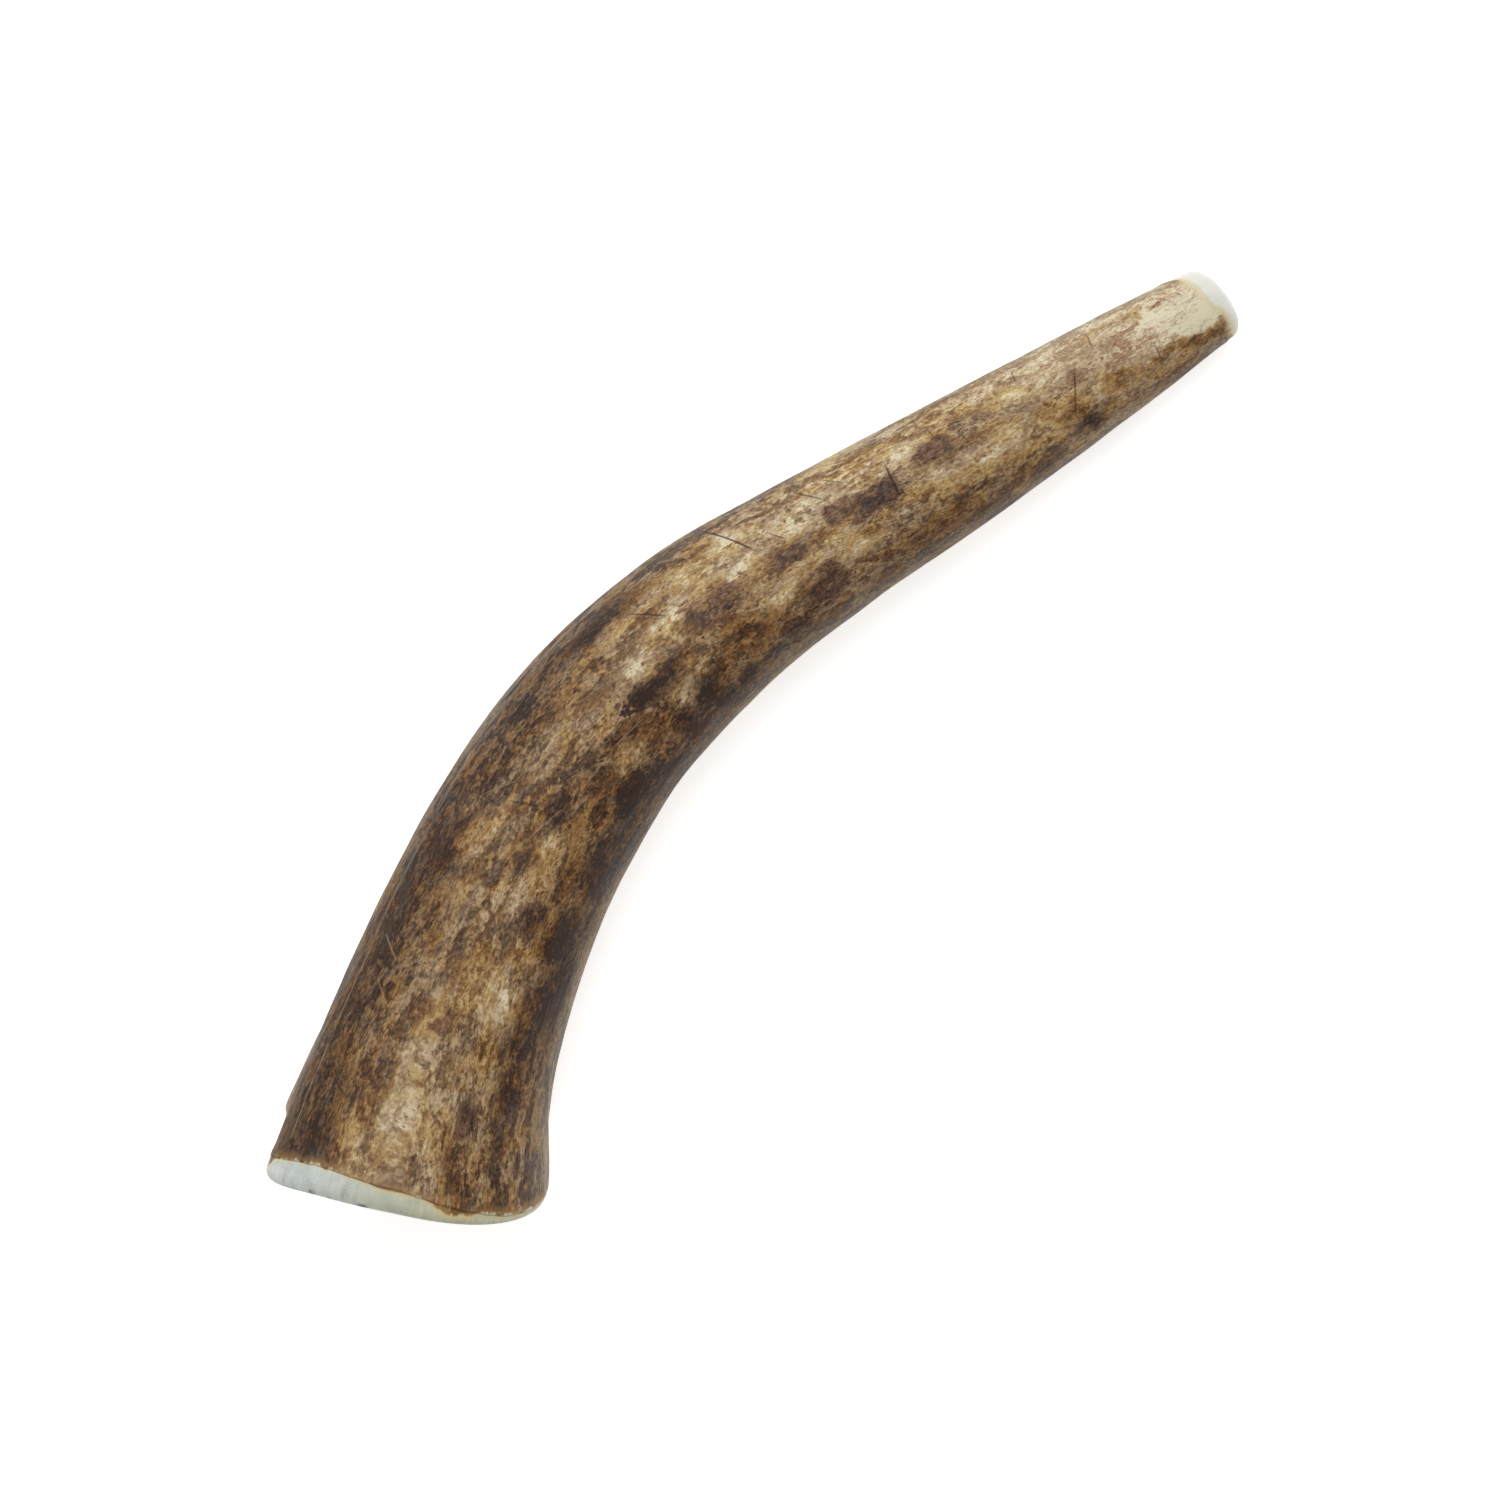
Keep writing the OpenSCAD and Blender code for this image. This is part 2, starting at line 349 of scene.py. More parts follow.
VIOLET_MARKS = [
    (11, 113, 2.2, 1.6, 0.8),
    (21, 93, 1.5, 1.0, 0.8),
    (36.7, 113, 2.6, 1.8, 0.9),
    (43.5, 96, 2.3, 1.2, 0.8),
    (51.7, 98, 2.4, 1.3, 0.9),
    (58.5, 98, 2.4, 1.2, 0.7),
    (66, 79, 3.5, 1.8, 0.5),
    (72.5, 97, 4.4, 1.8, 1.05),
    (84, 87, 4.0, 2.3, 1.0),
    (88.3, 98, 1.8, 0.8, 0.7),
    (96, 85, 3.2, 1.7, 0.95),
    (97.7, 119, 2.8, 1.9, 1.35),
    (104, 76, 1.8, 1.6, 0.9),
    (109, 82, 3.2, 1.7, 1.45),
    (119, 74, 2.8, 1.5, 1.1),
    (134, 92, 3.0, 1.0, 0.5),
    (140, 82, 3.5, 1.4, 0.52),
    (143, 60, 2.4, 1.0, 0.45),
    (146, 92, 3.0, 1.2, 0.46),
    (148, 68, 4.0, 1.4, 0.55),
    (151, 77, 3.0, 1.2, 0.50),
    (152, 88, 3.0, 1.3, 0.46),
    (155, 58, 3.0, 1.2, 0.46),
    (155, 84, 2.0, 1.0, 0.45),
    (157, 72, 2.4, 1.2, 0.44),
]
RUSTY_MARKS = [
    (4, 92, 1.6, 1.0, 0.6),
    (5, 108, 4, 1.4, 0.7),
    (10, 62, 5, 2.4, 0.5),
    (22, 82, 5, 0.7, 0.5),
    (30, 74, 2.0, 1.2, 0.6),
    (44, 124, 5, 2.2, 0.6),
    (50, 108, 3, 2.0, 0.7),
    (57, 112, 3, 1.8, 0.7),
    (66, 118, 4, 2.0, 0.6),
    (80, 60, 2.2, 1.0, 0.5),
    (85, 114, 5, 2.8, 0.8),
    (113, 132, 6, 2.2, 0.7),
    (118, 121, 3.5, 1.6, 0.7),
    (126.7, 114, 2.8, 1.4, 0.7),
    (129, 54, 0.9, 0.8, 0.6),
    (130, 84, 7, 1.0, 0.5),
    (137, 109, 3.2, 1.2, 1.1),
    (145, 107, 1.7, 0.9, 1.1),
    (145.4, 105, 2.6, 0.6, 0.9),
    (149, 110, 3.4, 0.8, 0.7),
    (150.8, 46, 2.4, 0.7, 0.8),
    (151, 50, 0.7, 1.0, 0.8),
    (155.1, 55, 2.2, 0.6, 0.7),
    (158, 57, 0.5, 0.4, 0.9),
    (158.5, 126, 2.4, 0.9, 0.9),
    (159.8, 63, 1.6, 0.5, 0.7),
    (160.9, 105, 0.5, 0.5, 1.0),
]

# On bare bone: grey smudges and dark nicks on the base rim, painted shade where the tip's dome turns over,
# and where the bone is creamier
SMUDGES_AND_DOME_SHADE = [
    (0.3, 84, 0.4, 0.5, 0.9),
    (0.4, 71, 0.3, 0.3, 0.8),
    (0.5, 62, 0.5, 0.7, 0.7),
    (0.5, 116, 0.4, 1.2, 0.30),
    (0.8, 290, 0.8, 1.0, 0.5),
    (1.0, 101, 0.7, 0.5, 0.35),
    (1.0, 200, 1.0, 1.5, 0.4),
    (1.2, 330, 1.5, 0.8, 0.4),
    (1.4, 48, 1.2, 0.5, 0.35),
    (1.6, 77, 1.4, 0.6, 0.40),
    (2.2, 68, 1.0, 0.4, 0.30),
    # Painted shade: a grey band at the edge of the tip's dome, where its surface turns away
    (163.5, 15, 1.2, 1.4, 0.35),
    (165.0, 40, 1.2, 2.5, 0.40),
    (166.0, 90, 1.2, 6.0, 0.18),
]
IVORY_PLACES = [
    (1.5, 0, 4, 6, 0.6),
    (1.5, 94, 4, 5, 0.6),
    (1.5, 118, 4, 9, 0.9),
    (1.5, 150, 4, 9, 0.8),
    (1.5, 215, 4, 10, 0.8),
    (1.5, 265, 4, 10, 0.8),
    (1.5, 310, 4, 10, 0.8),
]

# Where the bark is worn pale; the marks near 86 degrees at 6 to 22 mm and near 73 to 84 degrees at 71 to
# 91 mm are painted highlight along the top
PALE_AND_HIGHLIGHT_MARKS = [
    (6, 87, 3.0, 0.8, 0.5),
    (12, 85, 10, 1.0, 0.42),
    (12, 119, 5, 1.0, 0.6),
    (17, 102, 2.6, 1.4, 0.45),
    (22, 88, 5.0, 0.6, 0.45),
    (24, 118, 3.0, 1.6, 0.6),
    (26.5, 115, 4.2, 2.2, 0.9),
    (28, 96, 2.2, 1.3, 0.6),
    (29, 113, 2.6, 1.6, 0.6),
    (36, 75, 2.6, 1.3, 0.6),
    (38.5, 104, 2.4, 1.3, 0.8),
    (41, 73, 2.2, 1.2, 0.8),
    (43.5, 66, 3.0, 1.8, 0.8),
    (45, 72, 3.4, 1.4, 0.8),
    (46, 52, 1.5, 1.2, 0.7),
    (46.5, 105, 2.8, 1.5, 0.9),
    (50, 113, 1.6, 0.9, 0.6),
    (57, 73, 4.2, 1.5, 0.8),
    (62.5, 118, 2.8, 1.5, 1.0),
    (71, 84, 2.6, 1.6, 1.0),
    (74, 117, 2.2, 2.0, 1.0),
    (77.5, 109, 1.3, 1.1, 0.8),
    (79, 75, 3.2, 1.2, 0.9),
    (83, 57, 3, 1.8, 0.7),
    (88, 98, 3.0, 1.0, 0.7),
    (90, 51, 4, 1.6, 0.8),
    (90, 74, 3.2, 1.3, 1.0),
    (91, 73, 4.2, 1.3, 1.0),
    (92, 104, 4.2, 1.4, 0.8),
    (93.5, 122, 0.8, 1.8, 0.7),
    (96, 96, 2.4, 1.0, 0.7),
    (100, 62, 4.0, 2.2, 0.9),
    (101, 94, 4.0, 0.8, 0.7),
    (105, 108, 3.0, 1.4, 0.7),
    (108, 63, 5.0, 1.2, 0.8),
    (115, 58, 4, 1.6, 0.7),
    (116, 91, 4.5, 1.2, 0.7),
    (125, 98, 5, 1.6, 0.7),
    (133, 66, 6.0, 1.4, 0.7),
    (152, 66, 3.0, 1.4, 0.7),
]

# Each cut: its two ends (along, angle), half width in millimetres, depth from 0 to 1
CUTS = [
    (10.5, 64, 13, 48, 0.08, 0.5),
    (21, 70, 23.6, 54, 0.08, 0.5),
    (38, 60, 33, 44, 0.08, 0.5),
    (49, 74, 50.5, 92, 0.08, 0.6),
    (63.5, 79, 62, 92, 0.08, 0.5),
    (64, 106, 68, 107, 0.10, 0.9),
    (79, 72, 75, 50, 0.10, 0.8),
    (92.5, 70, 88, 22, 0.12, 1.0),
    (103.5, 62, 100.5, 38, 0.10, 0.8),
    (112, 92, 112.6, 58, 0.12, 1.0),
    (120, 62, 119.5, 40, 0.08, 0.5),
    (133, 55, 133.5, 32, 0.09, 0.6),
    (137, 118, 141, 66, 0.08, 0.8),
    (151, 122, 151.2, 95, 0.09, 0.7),
    (158, 60, 157.6, 50, 0.09, 0.6),
]
FINE_CUTS = [
    (62.5, 92, 63, 78, 0.08, 0.6),
    (96.5, 73, 95, 62, 0.08, 0.7),
    (107, 58, 104, 40, 0.08, 0.6),
    (112.8, 94, 112.6, 85, 0.08, 0.8),
    (144, 62, 144.5, 42, 0.08, 0.6),
]
PALE_LINES = [
    (5, 44, 17, 42, 0.12, 0.8),
    (16, 42, 30, 36, 0.12, 0.9),
    (20.4, 70, 23.7, 52, 0.10, 0.7),
    (26, 60, 28.5, 43, 0.12, 0.9),
    (29, 36, 44, 32, 0.12, 0.9),
    (42, 87, 54, 104, 0.10, 0.7),
    (43, 32, 53, 27, 0.12, 0.8),
    (50.5, 106, 56, 110, 0.12, 0.7),
    (51.5, 70, 47.5, 55, 0.10, 0.6),
    (52, 27, 66, 22, 0.12, 0.7),
    (54, 104, 62, 105.5, 0.09, 0.5),
    (62, 105, 68, 107.5, 0.10, 0.9),
    (68.2, 106, 69.6, 107.5, 0.30, 1.2),
]

UNSEEN_MARKS = 30        # random marks of each kind on the underside
rng = np.random.default_rng(7)


def unseen_marks(strength_low, strength_high):
    """Random marks for the underside."""
    return list(zip(
        rng.uniform(3, 158, UNSEEN_MARKS), rng.uniform(168, 372, UNSEEN_MARKS),
        rng.uniform(1.5, 5, UNSEEN_MARKS), rng.uniform(0.9, 2.4, UNSEEN_MARKS),
        rng.uniform(strength_low, strength_high, UNSEEN_MARKS)))


STAIN_MARKS = (BLACK_MARKS, VIOLET_MARKS, RUSTY_MARKS)
UNSEEN_STAINS = [unseen_marks(0.5, 1.0) for _ in STAIN_MARKS]
UNSEEN_LIGHT = unseen_marks(0.4, 0.9)
PLAIN_TONE = 0.42        # how light the bark is away from every mark, from 0 to 1


def spread_of(mark, along, angle, radius):
    """How strongly one mark is felt at each place, 1 in its middle and 0 far off."""
    at, direction, half_length, half_across = mark[:4]
    across = np.radians(turned(angle, direction)) * radius
    return np.exp(-((along - at) / half_length) ** 2 - (across / half_across) ** 2)


def pushed_about(along, angle, radius):
    """The same places moved a little at random, so that round marks come out ragged."""
    grain = grain_point(along, angle, radius)
    moved_along = 1.4 * wander(grain, 3.5, 3, 20.0) + 1.0 * wander(grain, 1.6, 3, 27.0)
    moved_across = 1.0 * wander(grain, 3.5, 3, 35.0) + 0.8 * wander(grain, 1.6, 3, 42.0)
    return along + moved_along, angle + np.degrees(moved_across / radius), radius


def strongest(marks, along, angle, radius):
    """At each place, the mark that is felt most."""
    field = np.zeros(np.shape(along))
    for mark in marks:
        field = np.maximum(field, mark[4] * spread_of(mark, along, angle, radius))
    return field


def total(marks, along, angle, radius):
    """At each place, all marks added up."""
    return sum(mark[4] * spread_of(mark, along, angle, radius) for mark in marks)


def cut_field(cuts, along, angle, radius):
    """For the nearest cut: signed distance from its line, its half width and how deep it is."""
    found = np.zeros(np.shape(along) + (3,))
    for along_a, angle_a, along_b, angle_b, half, depth in cuts:
        run = np.stack([along - along_a, np.radians(turned(angle, angle_a)) * radius], -1)
        whole = np.stack(np.broadcast_arrays(
            along_b - along_a, np.radians(angle_b - angle_a) * radius), -1)
        length = np.linalg.norm(whole, axis=-1)
        direction = whole / length[..., None]
        share = (run * direction).sum(-1) / length
        off = run[..., 0] * direction[..., 1] - run[..., 1] * direction[..., 0]
        # Felt within 2.2 mm of the line, and less towards its ends
        nearness = ease((2.2 - np.abs(off)) / 1.2)
        ends = ease(share / 0.15) * ease((1 - share) / 0.3)
        felt = depth * nearness * ends
        stronger = felt > found[..., 2]
        found[stronger] = np.stack([off, np.full_like(off, half), felt], -1)[stronger]
    return found


# ---- meshes ---------------------------------------------------------------------------------

def surface_normals(grid):
    """Outward unit normals of a grid of points, rows along the tine and columns around it."""
    along = np.gradient(grid, axis=0)
    across = np.roll(grid, -1, axis=1) - np.roll(grid, 1, axis=1)
    normal = np.cross(across, along)
    return normal / np.linalg.norm(normal, axis=-1)[..., None]


def loft_faces(rows, closed):
    """Quads between neighbouring rows of COLUMNS points; closed joins the last to the first."""
    ring = np.arange(COLUMNS)
    after = (ring + 1) % COLUMNS
    faces = []
    for row in range(rows if closed else rows - 1):
        near, far = row * COLUMNS, (row + 1) % rows * COLUMNS
        faces.append(np.stack([near + ring, near + after, far + after, far + ring], axis=-1))
    return np.concatenate(faces).tolist()


def end_faces(tip, ring_start, forward):
    """Triangles from one point to a ring."""
    ring = np.arange(COLUMNS)
    after = (ring + 1) % COLUMNS
    pair = (after, ring) if forward else (ring, after)
    return [(tip, ring_start + int(a), ring_start + int(b)) for a, b in zip(*pair)]


def capped_loft(grid, first, last):
    """Points and faces of a loft through rings that ends in one point at each end."""
    count = len(grid) * COLUMNS
    faces = loft_faces(len(grid), False)
    faces += end_faces(count, 0, True)
    faces += end_faces(count + 1, count - COLUMNS, False)
    return np.concatenate([grid.reshape(-1, 3), [first, last]]), faces


def make_piece(name, points_mm, faces, hidden):
    """Mesh object; its hidden faces are shaded flat, so that the edge beside them stays crisp."""
    mesh = bpy.data.meshes.new(name)
    mesh.from_pydata((points_mm * 0.001).tolist(), [], faces)
    smooth = np.ones(len(mesh.polygons), dtype=bool)
    smooth[hidden] = False
    mesh.polygons.foreach_set("use_smooth", smooth)
    mesh.update()
    piece = bpy.data.objects.new(name, mesh)
    bpy.context.scene.collection.objects.link(piece)
    return piece


def store(piece, name, values):
    """Keep one number or one vector for each point of the mesh, for the material to read."""
    kind, key = ("FLOAT", "value") if values.ndim == 1 else ("FLOAT_VECTOR", "vector")
    layer = piece.data.attributes.new(name, kind, "POINT")
    layer.data.foreach_set(key, np.ascontiguousarray(values, dtype=np.float32).ravel())


# ---- bark -----------------------------------------------------------------------------------

BARK_ROWS = 340          # steps along the outside
INNER_ROWS = 24          # steps along the inside


def bark_u(k, angle, rough=1.0):
    """u for a share k of the bark's length, whose ends wander round the tine."""
    base_edge = base_bare(angle) + rough * ragged(angle, 2.2, 0.12, 3.0)
    tip_edge = tip_bare(angle) + rough * ragged(angle, 1.6, 0.10, 9.0)
    return mix(base_edge / BASE_PACE, 1 - tip_edge / TIP_PACE, k)


def bark_thickness(k):
    return mix(BARK_EDGE, BARK_DEPTH, ease(k / 0.05) * ease((1 - k) / 0.05))


def bark_relief(grain, along, angle, thickness):
    """Depth in millimetres that each point of the bark lies below the CAD's smooth surface."""
    swell = 0.10 * wander(grain, 14, 2, 1.0)
    stretched = grain * (0.10, 1, 1)
    flutes = np.abs(wander(stretched, 1.9, 2, 5.0))
    bulge = np.exp(-(turned(angle, 25) / 40) ** 2) * ease((95 - along) / 40)
    flute_depth = mix(0.07, 0.24, bulge)
    lumps = 0.05 * wander(grain * (0.5, 1, 1), 3.0, 3, 12.0)
    hairs = 0.05 * bulge * wander(stretched * (0.6, 1, 1), 0.7, 2, 15.0)
    depth = 0.12 + swell + flute_depth * (0.5 - flutes) + lumps + hairs
    ground_flush = ease(1 - (thickness - BARK_EDGE) / 0.05)
    return mix(np.clip(depth, 0.02, 0.6 * thickness), 0.4 * BARK_EDGE, ground_flush)


def bareness_at(u, angle):
    """Millimetres past the end of the stain, towards the nearer bare band; below 0 on the stain."""
    return np.maximum(stain_end_at_base(angle) - u * BASE_PACE,
                      stain_end_at_tip(angle) - (1 - u) * TIP_PACE)


def bark_points():
    """Rings of the bark, out along the outside and back along the inside, with u and angle."""
    k = np.linspace(0, 1, BARK_ROWS + 1)[:, None]
    u = bark_u(k, TURN[None, :])
    angle = np.broadcast_to(TURN, u.shape)
    along = np.interp(u, ALONG_U, ALONG)
    grain = grain_point(along, angle, half_width(u))
    outer = place(u, section(u, angle))
    depth = bark_relief(grain, along, angle, bark_thickness(k))
    outer = outer - surface_normals(outer) * depth[..., None]

    k_in = np.linspace(1, 0, INNER_ROWS + 1)[:, None]
    u_in = bark_u(k_in, TURN[None, :])
    angle_in = np.broadcast_to(TURN, u_in.shape)
    inner = place(u_in, section(u_in, angle_in, bark_thickness(k_in)))
    return tuple(np.concatenate(both) for both in ((outer, inner), (u, u_in), (angle, angle_in)))


def store_marks(piece, along, angle, radius):
    """Everything that the stained surface's colour depends on, for each point of a piece."""
    where = (along, angle, radius)
    store(piece, "grain", grain_point(*where))
    moved = pushed_about(*where)
    store(piece, "tone", PLAIN_TONE + total(WASHES, *moved))
    store(piece, "liveliness", 1 + total(PLAIN_PLACES, *moved))
    store(piece, "stains", np.stack([
        strongest(marks + unseen, *moved) for marks, unseen in zip(STAIN_MARKS, UNSEEN_STAINS)], axis=-1))
    # Worn pale patches, some of them painted highlight along the top
    store(piece, "light", strongest(PALE_AND_HIGHLIGHT_MARKS + UNSEEN_LIGHT, *moved))
    # The two sides, near 0 and 180 degrees, which get a painted reflection
    store(piece, "flank", ease((np.abs(np.cos(np.radians(angle))) - 0.8) / 0.2))


def build_bark(shift):
    grid, u, angle = bark_points()
    points = grid.reshape(-1, 3) + shift
    inside = slice(BARK_ROWS * COLUMNS, None)
    piece = make_piece("bark_skin", points, loft_faces(len(grid), True), inside)
    u, angle = u.ravel(), angle.ravel()
    along, radius = np.interp(u, ALONG_U, ALONG), half_width(u)
    store_marks(piece, along, angle, radius)
    store(piece, "bareness", bareness_at(u, angle))
    store(piece, "cuts", cut_field(CUTS, along, angle, radius))
    store(piece, "fine_cuts", cut_field(FINE_CUTS, along, angle, radius))
    store(piece, "pale_lines", cut_field(PALE_LINES, along, angle, radius))
    return piece


# ---- compact bone ---------------------------------------------------------------------------

CORE_END = 0.985 * CORE_REACH        # where the core and its cavity close, before they have no width
CAVITY_ROWS = 16
FACE_ROWS = 44
RIM_ROWS = 22
END_ROWS = 10            # rows under each ground end of the bark
MIDDLE_ROWS = 24
DOME_ROWS = 34
SAW_STEP = 0.03          # depth of the steps on the sawn face
SAW_PITCH = 1.3
FAR_PAST_STAIN = 20.0    # bareness in millimetres where no stain reaches


def core_outline(u):
    """Offsets (side, height) of the ring where the core meets the wall."""
    k = np.clip(u / CORE_REACH, 0, 1)
    share = CORE_SHARE * np.sqrt(1 - k**4)
    side, height = section(u, TURN)
    return share * side, share * height


def base_inward():
    """Unit vector into the tine, square to the sawn face."""
    heading = centre_and_heading(np.array(0.0))[1]
    slant = math.radians(BASE_UNDERCUT)
    return np.array([*(heading * math.cos(slant)), math.sin(slant)])


def saw_marks(points):
    """Depth of the fine steps that the saw left across the face, in millimetres."""
    sweep = points[..., 2] * 0.8 + points[..., 1] * 0.6 + 0.4 * wander(points, 9.0, 2, 50.0)
    steps = 0.5 + 0.5 * np.sin(2 * math.pi * sweep / SAW_PITCH)
    unevenness = 0.5 + 0.5 * wander(points, 2.5, 2, 55.0)
    return SAW_STEP * (steps + unevenness)


def rim_ring(turn):
    """Ring of the rounded rim, and how far along it is: turn 0 at the face, a quarter turn at the side."""
    radius = RIM_SHARE * base_bare(TURN)
    u = radius * (1 - np.cos(turn)) / BASE_PACE
    return place(u, section(u, TURN, BARK_EDGE + radius * (1 - np.sin(turn)))), u * BASE_PACE


def dome_ring(turn):
    """Ring of the tip's dome, how far it is past the dome's start, and its share of the width."""
    side, height = section(1.0, TURN, BARK_EDGE)
    narrowing = np.cos(turn) ** 0.75
    rise = TIP_DOME * np.sin(turn) ** 0.9 - math.tan(math.radians(TIP_SLANT)) * side * narrowing
    heading = centre_and_heading(np.array(1.0))[1]
    ring = place(np.ones(COLUMNS), (side * narrowing, height * narrowing))
    ring[:, :2] += rise[:, None] * heading
    past = np.hypot(np.hypot(side, height) * (1 - narrowing), TIP_DOME * np.sin(turn) ** 0.9)
    return ring, past, narrowing


def bone_rings():
    """Rings of the wall with, for each: along, bareness, depth in the sawn face, share of the width."""
    for u in np.linspace(CORE_END, 0.01, CAVITY_ROWS):
        yield place(np.full(COLUMNS, u), core_outline(u)), u * LENGTH, FAR_PAST_STAIN, 1.0, CORE_SHARE
    rim_start = section(0.0, TURN, BARK_EDGE + RIM_SHARE * base_bare(TURN))
    core_edge = core_outline(0.0)
    for k in np.linspace(0, 1, FACE_ROWS):
        ring = place(np.zeros(COLUMNS), [mix(a, b, k) for a, b in zip(core_edge, rim_start)])
        ring = ring + (saw_marks(ring) * ease((1 - k) / 0.08))[:, None] * base_inward()
        yield ring, 0.0, FAR_PAST_STAIN, max(1 - k, 0.001), mix(CORE_SHARE, 1.0, k)
    for turn in np.linspace(0, math.pi / 2, RIM_ROWS)[1:]:
        ring, along = rim_ring(turn)
        yield ring, along, stain_end_at_base(TURN) - along, 0.0, 1.0
    near_base = np.linspace(0, 0.06, END_ROWS)
    for k in [*near_base, *np.linspace(0.1, 0.9, MIDDLE_ROWS), *(1 - near_base[::-1])]:
        u = bark_u(np.array([k]), TURN, rough=0.0)
        along = np.interp(u, ALONG_U, ALONG)
        yield place(u, section(u, TURN, bark_thickness(k))), along, bareness_at(u, TURN), 0.0, 1.0
    for turn in np.linspace(0, math.pi / 2, DOME_ROWS)[:-1]:
        ring, past, share = dome_ring(turn)
        yield ring, LENGTH + past, stain_end_at_tip(TURN) + past, 0.0, share


def build_bone(shift):
    rings = list(bone_rings())
    grid = np.array([ring for ring, *_ in rings])
    along, bareness, face, share = (
        np.array([np.broadcast_to(value, COLUMNS) for value in values])
        for values in list(zip(*rings))[1:])
    heading = centre_and_heading(np.array(1.0))[1]
    tip = place(1.0, (0.0, 0.0)) + TIP_DOME * np.array([*heading, 0])
    points, faces = capped_loft(grid, place(CORE_REACH, (0.0, 0.0)), tip)
    piece = make_piece("bone_wall", points + shift, faces, slice(CAVITY_ROWS * COLUMNS))

    # The last two points are the caps: the end of the cavity and the middle of the tip
    along = np.append(along.ravel(), [CORE_REACH * LENGTH, LENGTH + TIP_DOME])
    angle = np.append(np.tile(TURN, len(grid)), [90.0, 90.0])
    face = np.append(face.ravel(), [1.0, 0.0])
    radius = half_width(np.interp(along, ALONG, ALONG_U)) * np.append(share.ravel(), [0.01, 0.01])
    store_marks(piece, along, angle, radius)
    store(piece, "bareness", np.append(bareness.ravel(), [FAR_PAST_STAIN, FAR_PAST_STAIN]))
    store(piece, "face", face)
    # Smudges and nicks on the base rim, and painted shade at the edge of the tip's dome
    store(piece, "smudges_and_dome_shade", total(SMUDGES_AND_DOME_SHADE, along, angle, radius) * ease(1 - 8 * face))
    store(piece, "ivory", total(IVORY_PLACES, along, angle, radius))
    return piece


# ---- spongy core ----------------------------------------------------------------------------

CORE_FACE_ROWS = 90
CORE_BODY_ROWS = 14
PORE_SIZE = 1.15         # millimetres between the middles of neighbouring pores
PORE_DEPTH = 0.9


def pore_depth(points, to_edge):
    """How deep the pores are at each point of the sawn face, in millimetres."""
    warped = points + 0.35 * np.stack([wander(points, 1.6, 2, seed) for seed in (61, 67, 73)], -1)
    swell = 0.5 + 0.5 * wander(points, 4.0, 2, 80.0)
    depth = np.zeros(points.shape[:-1])
    for size, share in ((PORE_SIZE, 1.0), (PORE_SIZE / 2, 0.45)):
        nearest = [noise.voronoi(Vector(p / size))[0][:2] for p in warped.reshape(-1, 3)]
        first, second = np.array(nearest).T.reshape(2, *depth.shape)
        wall = 0.10 + 0.16 * swell
        depth = np.maximum(depth, share * ease((second - first - wall) / 0.35))
    return PORE_DEPTH * depth * ease(to_edge / 1.2)


def build_core(shift):
    """The core: its porous face from the middle out, then its sides."""
    edge = np.array(core_outline(0.0))
    shares = np.linspace(0, 1, CORE_FACE_ROWS)[1:]
    face = np.array([place(np.zeros(COLUMNS), edge * share) for share in shares])
    to_edge = (1 - shares)[:, None] * np.linalg.norm(edge, axis=0)
    depth = pore_depth(face, to_edge)
    face = face + (depth + saw_marks(face) * ease(to_edge / 0.5))[..., None] * base_inward()
    body = [place(np.full(COLUMNS, u), core_outline(u))
            for u in np.linspace(0, CORE_END, CORE_BODY_ROWS)[1:]]
    grid = np.concatenate([face, body])
    points, faces = capped_loft(grid, place(0.0, (0.0, 0.0)), place(CORE_REACH, (0.0, 0.0)))
    sides = slice((len(face) - 1) * COLUMNS, len(grid) * COLUMNS)
    piece = make_piece("core_sponge", points + shift, faces, sides)
    elsewhere = np.zeros(len(points) - depth.size)
    store(piece, "pores", np.append((depth / PORE_DEPTH).ravel(), elsewhere))
    store(piece, "to_edge", np.append(to_edge.ravel(), elsewhere))
    return piece


# ---- materials ------------------------------------------------------------------------------

def tint(red, green, blue):
    """Screen colour, 0 to 255, as the linear colour that shaders take."""
    return tuple(((c / 255 + 0.055) / 1.055) ** 2.4 for c in (red, green, blue)) + (1.0,)


